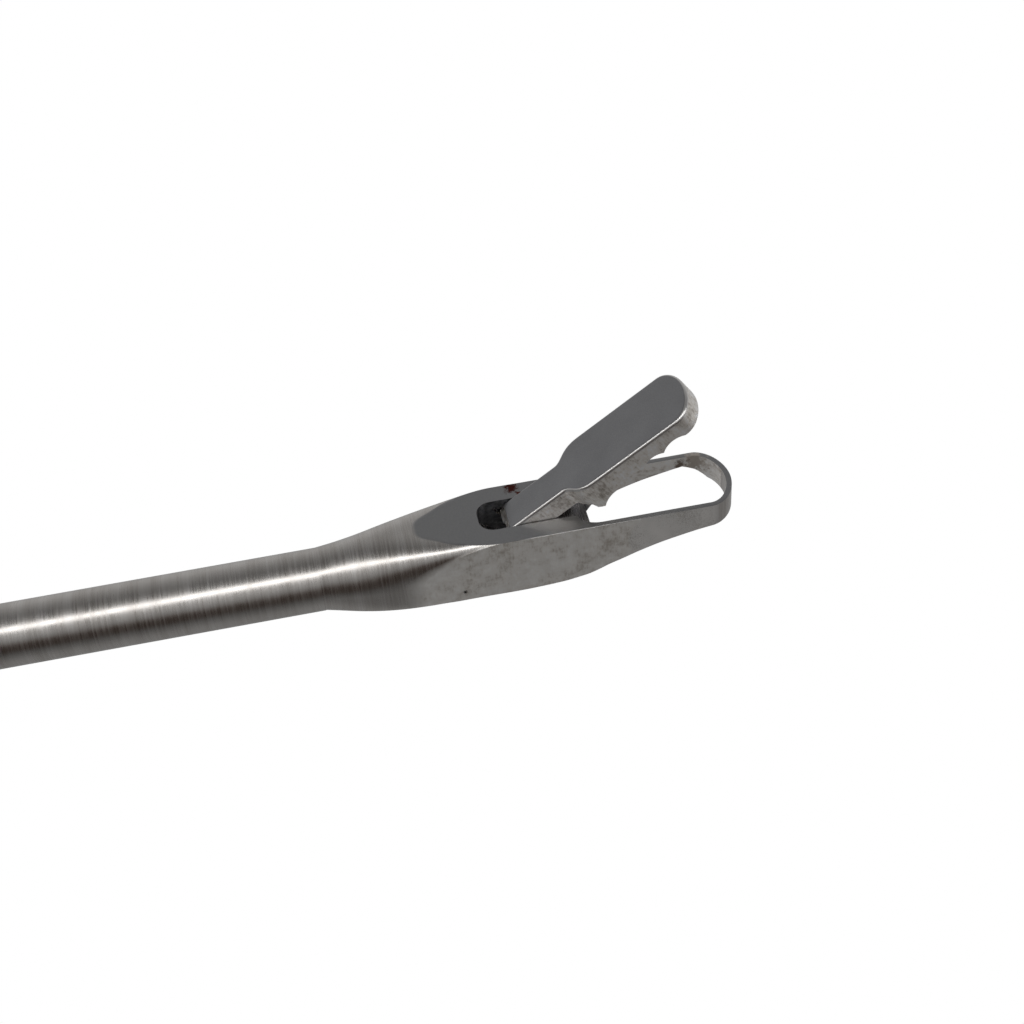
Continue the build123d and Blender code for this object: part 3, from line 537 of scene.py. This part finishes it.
def bead_blasted(name, burnish=()):
    """Satin blasted stainless: a fine even grain, slow clouds of tone, and smoother, brighter
    metal on the inside of each ring, given by its centre in x and z and its inner radius."""
    m, t = new_tree(name)
    place = add(t, "TexCoord", {}, out="Object")
    beads = add(t, "TexNoise", {"Vector": place, "Scale": 1 / (0.12 * MM), "Detail": 2.0})
    clouds = add(t, "TexNoise", {"Vector": place, "Scale": 1 / (9.0 * MM), "Detail": 4.0})
    tone = add(t, "MapRange", {0: beads, 1: 0.3, 2: 0.7, 3: -0.14, 4: 0.14})
    tone = add(t, "Math", {0: tone, 1: clouds}, operation="ADD")
    colour = add(t, "ValToRGB", {0: tone}, stops=[(0.3, "a5a4a3"), (0.7, "c2c1c0")])
    rough = add(t, "MapRange", {0: clouds, 1: 0.3, 2: 0.7, 3: 0.34, 4: 0.44})
    for centre_x, centre_z, radius in burnish:
        flat = add(t, "VectorMath", {0: place, 1: (1.0, 0.0, 1.0)}, operation="MULTIPLY")
        centre = (centre_x, 0.0, centre_z)
        away = add(t, "VectorMath", {0: flat, 1: centre}, operation="DISTANCE", out="Value")
        rubbed = add(t, "MapRange", {0: away, 1: radius + 1.6 * MM, 2: radius + 0.2 * MM})
        colour = add(t, "Mix", {0: rubbed, 6: colour, 7: linear("cfcecd")}, data_type="RGBA", out=2)
        rough = add(t, "Mix", {0: rubbed, 2: rough, 3: 0.24})
    steel(t, colour, rough, beads, 0.004, 0.35)
    return m


rings_at = {m["name"]: (m["pos_m"][0], m["pos_m"][2], m["dims"]["r_mm"] * MM)
            for m in frame["record"]["mounts"] if m["kind"] == "bore"}
wear("handle_body", bead_blasted("stainless_blasted_body"))
wear("handle_front", bead_blasted("stainless_blasted_front_ring", [rings_at["finger_ring"]]))
wear("handle_rear", bead_blasted("stainless_blasted_rear_ring", [rings_at["thumb_ring"]]))

# ---------------------------------------------------------------------------
# Screws, nuts and the rod end
# Turned stainless: their faces show the tool's circles, their flats fine milling.
# ---------------------------------------------------------------------------


def turned_face(name, axis, centre):
    """Turned stainless: circles 0.08 mm apart about an axis through a centre, so that end faces
    show rings, over the slow tone of the bar."""
    m, t = new_tree(name)
    place = add(t, "TexCoord", {}, out="Object")
    keep = [1.0, 1.0, 1.0]
    keep["XYZ".index(axis)] = 0.0
    local = add(t, "VectorMath", {0: place, 1: centre}, operation="SUBTRACT")
    local = add(t, "VectorMath", {0: local, 1: keep}, operation="MULTIPLY")
    radius = add(t, "VectorMath", {0: local}, operation="LENGTH", out="Value")
    circles = add(t, "TexNoise", {"W": radius, "Scale": 1 / (0.08 * MM), "Detail": 2.0},
                  noise_dimensions="1D")
    bar = add(t, "TexNoise", {"Vector": place, "Scale": 1 / (1.5 * MM), "Detail": 3.0})
    tone = add(t, "MapRange", {0: circles, 1: 0.3, 2: 0.7, 3: -0.2, 4: 0.2})
    tone = add(t, "Math", {0: tone, 1: bar}, operation="ADD")
    colour = add(t, "ValToRGB", {0: tone}, stops=[(0.2, "a9a7a4"), (0.8, "d0cecb")])
    rough = add(t, "MapRange", {0: circles, 1: 0.3, 2: 0.7, 3: 0.22, 4: 0.36})
    steel(t, colour, rough, circles, 0.006, 0.3)
    return m


for name, axis in [("pivot_screw", "Y"), ("front_handle_screw_1", "Y"), ("front_handle_screw_2", "Y"),
                   ("tube_set_screw", "Z"), ("stop_screw", "X"), ("stop_lock_nut", "X"),
                   ("rod_lock_nut", "X"), ("rod_clevis", "X")]:
    low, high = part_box(name)
    wear(name, turned_face("stainless_turned_" + name, axis, tuple((low + high) / 2)))

# ---------------------------------------------------------------------------
# Floor, light and camera
# A pale sheet under the rings, and a soft box of light bent round the object: a
# narrow bright strip high in front, a dark card low in front, paler all round.
# ---------------------------------------------------------------------------
floor_z = -96.6 * MM
floor_half = 6.0
floor_corners = [(-1, -1), (1, -1), (1, 1), (-1, 1)]
floor_mesh = bpy.data.meshes.new("floor")
floor_mesh.from_pydata([(a * floor_half, b * floor_half, floor_z) for a, b in floor_corners],
                       [], [(0, 1, 2, 3)])
floor = bpy.data.objects.new("floor", floor_mesh)
bpy.context.scene.collection.objects.link(floor)
pale_floor, t = new_tree("pale_floor")
seen = add(t, "LightPath", {}, out="Is Camera Ray")
pale = add(t, "Emission", {"Color": linear("ffffff"), "Strength": 1.0})
clear = add(t, "BsdfTransparent", {})
floor_surface = add(t, "MixShader", {0: seen, 1: clear, 2: pale})
add(t, "OutputMaterial", {"Surface": floor_surface}, out=slice(0, 0))
floor_mesh.materials.append(pale_floor)

world = bpy.data.worlds.new("studio")
bpy.context.scene.world = world
world.use_nodes = True
t = world.node_tree
t.nodes.clear()
direction = add(t, "TexCoord", {}, out="Generated")
level = add(t, "SeparateXYZ", {0: direction}, out="Z")
ahead = add(t, "SeparateXYZ", {0: direction}, out="Y")
minus_y = add(t, "Math", {0: ahead, 1: -1.0}, operation="MULTIPLY")
angle = add(t, "Math", {0: level, 1: minus_y}, operation="ARCTAN2")
turn = add(t, "MapRange", {0: angle, 1: -math.pi, 2: math.pi})
# strength of the light at each angle about X, in degrees: 0 is level in front, 90 straight above
light_by_angle = [
    (-180, 0.50), (-140, 0.34), (-100, 0.25), (-78, 0.27), (-58, 0.23), (-38, 0.14), (-18, 0.05), (2, 0.055),
    (12, 0.20), (22, 0.33), (42, 0.50), (53, 0.60), (57, 3.2), (67, 3.2), (71, 0.50), (82, 0.22), (102, 0.15),
    (122, 0.24), (142, 0.36), (165, 0.50), (180, 0.50),
]
strength = add(t, "FloatCurve", {"Value": turn})
peak = 4.0
points = strength.node.mapping.curves[0].points
while len(points) < len(light_by_angle):
    points.new(0.5, 0.5)
for point, (degrees, value) in zip(points, light_by_angle):
    point.location = ((degrees + 180) / 360, value / peak)
    point.handle_type = "VECTOR"
strength.node.mapping.update()
strength = add(t, "Math", {0: strength, 1: peak}, operation="MULTIPLY")
warm = [(0.42, "ffffff"), (0.45, "f6dccd"), (0.51, "f6dccd"), (0.54, "ffffff")]
tint = add(t, "ValToRGB", {0: turn}, stops=warm)
camera_ray = add(t, "LightPath", {}, out="Is Camera Ray")
shown = add(t, "Mix", {0: camera_ray, 2: strength, 3: 1.0})
colour = add(t, "Mix", {0: camera_ray, 6: tint, 7: linear("ffffff")}, data_type="RGBA", out=2)
sky = add(t, "Background", {"Color": colour, "Strength": shown})
add(t, "OutputWorld", {"Surface": sky}, out=slice(0, 0))

bpy.context.scene.view_settings.view_transform = "Standard"
camera = bpy.data.objects.new("camera", bpy.data.cameras.new("camera"))
bpy.context.scene.collection.objects.link(camera)
camera_at = [109.4239 * MM, -63.0909 * MM, 59.1982 * MM]
turned, tilted, rolled = (math.radians(a) for a in (-7.259437, 48.230260, -5.215649))
camera.matrix_world = (Matrix.Translation(camera_at) @ Matrix.Rotation(turned, 4, "Z")
                       @ Matrix.Rotation(tilted, 4, "X") @ Matrix.Rotation(rolled, 4, "Z"))
camera.data.sensor_width = 36.0
camera.data.lens = 55.042875
camera.data.clip_start = 0.005
camera.data.clip_end = 50.0
bpy.context.scene.camera = camera
